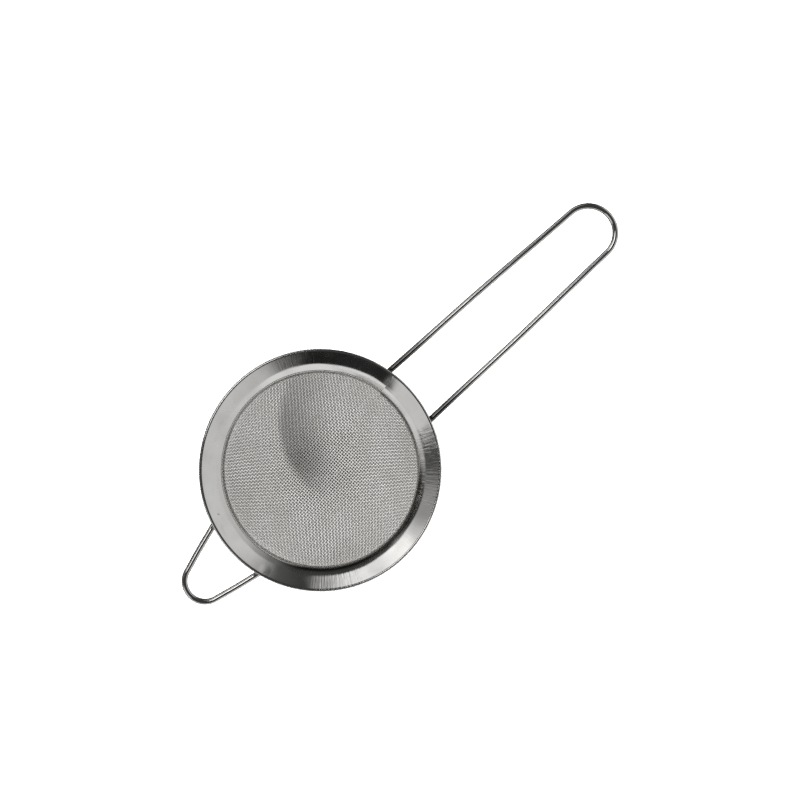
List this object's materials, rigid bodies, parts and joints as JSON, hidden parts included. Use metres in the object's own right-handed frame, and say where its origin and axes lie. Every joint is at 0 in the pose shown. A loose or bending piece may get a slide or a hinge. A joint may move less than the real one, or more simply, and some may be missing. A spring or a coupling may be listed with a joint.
{
  "type": "tea strainer",
  "caption": "Small wire tea strainer: a folded sheet rim holding a bowl of woven wire cloth, with a looped wire handle and a wire hook that rest on a cup.",
  "frame": {"origin": "on the bowl's axis, in the plane of the undersides of the handle and hook wires, which rests on a cup's rim", "axes": "+Z along the bowl's axis, out of its mouth; +X from that axis to the middle of the handle's two welds"},
  "size_m": [0.1885, 0.08, 0.0248],
  "materials": {
    "rim_steel": "polished",
    "wire_cloth": "satin",
    "round_wire": "polished",
    "weld_metal": "matte"
  },
  "bodies": {
    "root": {"rim_band": "rim_steel", "mesh_bowl": "wire_cloth", "handle_wire": "round_wire", "hook_wire": "round_wire", "handle_welds": "weld_metal", "hook_welds": "weld_metal"}
  },
  "joints": []
}
